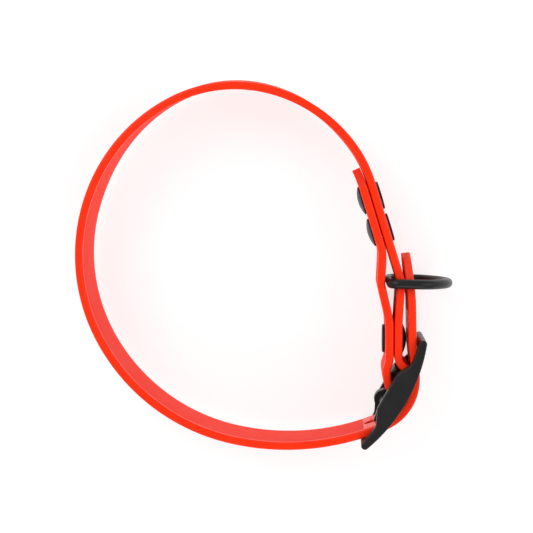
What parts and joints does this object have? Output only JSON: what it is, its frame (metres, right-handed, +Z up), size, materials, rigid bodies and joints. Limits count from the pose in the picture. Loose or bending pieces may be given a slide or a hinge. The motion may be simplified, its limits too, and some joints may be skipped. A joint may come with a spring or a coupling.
{
  "type": "buckled dog collar",
  "caption": "Dog collar of orange coated webbing lying on its edge, buckled: curved frame buckle with tongue, D-ring held between riveted layers, free tail up through the ring.",
  "frame": {"origin": "middle of the foot of the whole collar's box, with the collar lying on its edge", "axes": "+Z up along the collar's own axis, out of the neck opening; +X towards the buckle and D-ring side; +Y from the buckle towards the turned-back end"},
  "size_m": [0.1252, 0.1218, 0.0324],
  "materials": {
    "coated_webbing": "orange polyurethane coating over a woven webbing core, satin to glossy",
    "black_hardware": "satin black coating on cast and bent metal, slightly worn on the edges",
    "black_rivets": "satin black coating on turned screws"
  },
  "bodies": {
    "strap": {"strap": "coated_webbing", "upper_rivet_post": "black_rivets", "upper_rivet_screw": "black_rivets", "middle_rivet_post": "black_rivets", "middle_rivet_screw": "black_rivets", "lower_rivet_post": "black_rivets", "lower_rivet_screw": "black_rivets"},
    "d_ring": {"d_ring": "black_hardware"},
    "buckle": {"buckle_frame": "black_hardware"},
    "tongue": {"buckle_tongue": "black_hardware"}
  },
  "joints": [
    {"name": "ring_swing", "type": "hinge", "parent": "strap", "child": "d_ring", "pos_m": [0.04184, -0.00514, 0.0162], "axis": [0, 0, 1], "range_deg": [-34, 72]},
    {"name": "buckle_rock", "type": "hinge", "parent": "strap", "child": "buckle", "pos_m": [0.04406, -0.03746, 0.0162], "axis": [0, 0, 1], "range_deg": [-1, 2.5]},
    {"name": "tongue_lift", "type": "hinge", "parent": "buckle", "child": "tongue", "pos_m": [0.03989, -0.04486, 0.0162], "axis": [0, 0, 1], "range_deg": [0, 12]}
  ]
}
